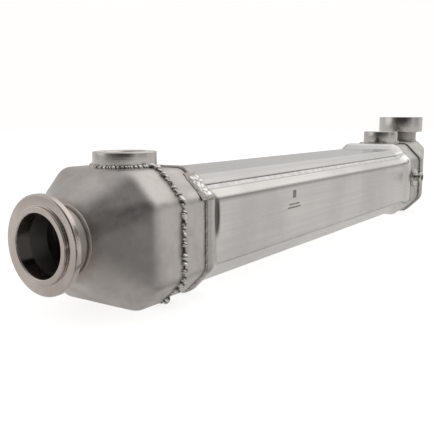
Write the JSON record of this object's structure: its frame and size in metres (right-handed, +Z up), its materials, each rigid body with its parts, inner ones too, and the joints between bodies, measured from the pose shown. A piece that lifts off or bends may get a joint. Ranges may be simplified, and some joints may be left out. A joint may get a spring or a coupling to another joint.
{
  "type": "shell-and-tube cooler",
  "caption": "Welded stainless shell-and-tube gas cooler with a clamp-flange inlet, an upright round outlet flange, two coolant ports on top and a side vent nipple.",
  "frame": {"origin": "centre of the gas inlet flange's rim face, on the gas axis", "axes": "+X along the cooler from inlet to rear, +Z up, vent nipple on the -Y side"},
  "size_m": [0.8778, 0.1459, 0.1595],
  "materials": {
    "pickled_sheet": "matte blasted and pickled stainless sheet",
    "mill_sheet": "2B mill-finish stainless sheet",
    "turned_steel": "turned stainless",
    "neck_tube": "drawn stainless tube",
    "weld_bead": "rippled weld metal",
    "gas_tube": "dull stainless tube",
    "inner_plate": "dull stainless plate"
  },
  "bodies": {
    "root": {"baffle_1": "inner_plate", "baffle_2": "inner_plate", "baffle_3": "inner_plate", "baffle_4": "inner_plate", "far_seam_weld": "weld_bead", "front_collar": "pickled_sheet", "front_coolant_port": "turned_steel", "front_corner_welds": "weld_bead", "front_header_plate": "inner_plate", "front_hood": "pickled_sheet", "front_hood_weld": "weld_bead", "front_lip_weld": "weld_bead", "front_port_weld": "weld_bead", "gas_tubes_row_1": "gas_tube", "gas_tubes_row_2": "gas_tube", "gas_tubes_row_3": "gas_tube", "gas_tubes_row_4": "gas_tube", "gas_tubes_row_5": "gas_tube", "gas_tubes_row_6": "gas_tube", "gas_tubes_row_7": "gas_tube", "gas_tubes_row_8": "gas_tube", "inlet_flange": "turned_steel", "inlet_neck_weld": "weld_bead", "near_seam_weld": "weld_bead", "outlet_flange": "turned_steel", "outlet_flange_weld": "weld_bead", "outlet_neck": "neck_tube", "outlet_neck_weld": "weld_bead", "rear_collar": "pickled_sheet", "rear_coolant_port": "turned_steel", "rear_header_plate": "inner_plate", "rear_hood": "pickled_sheet", "rear_hood_weld": "weld_bead", "rear_lip_weld": "weld_bead", "rear_port_weld": "weld_bead", "shell_cover": "mill_sheet", "shell_pan": "mill_sheet", "vent_nipple": "turned_steel", "vent_nipple_weld": "weld_bead"}
  },
  "joints": []
}
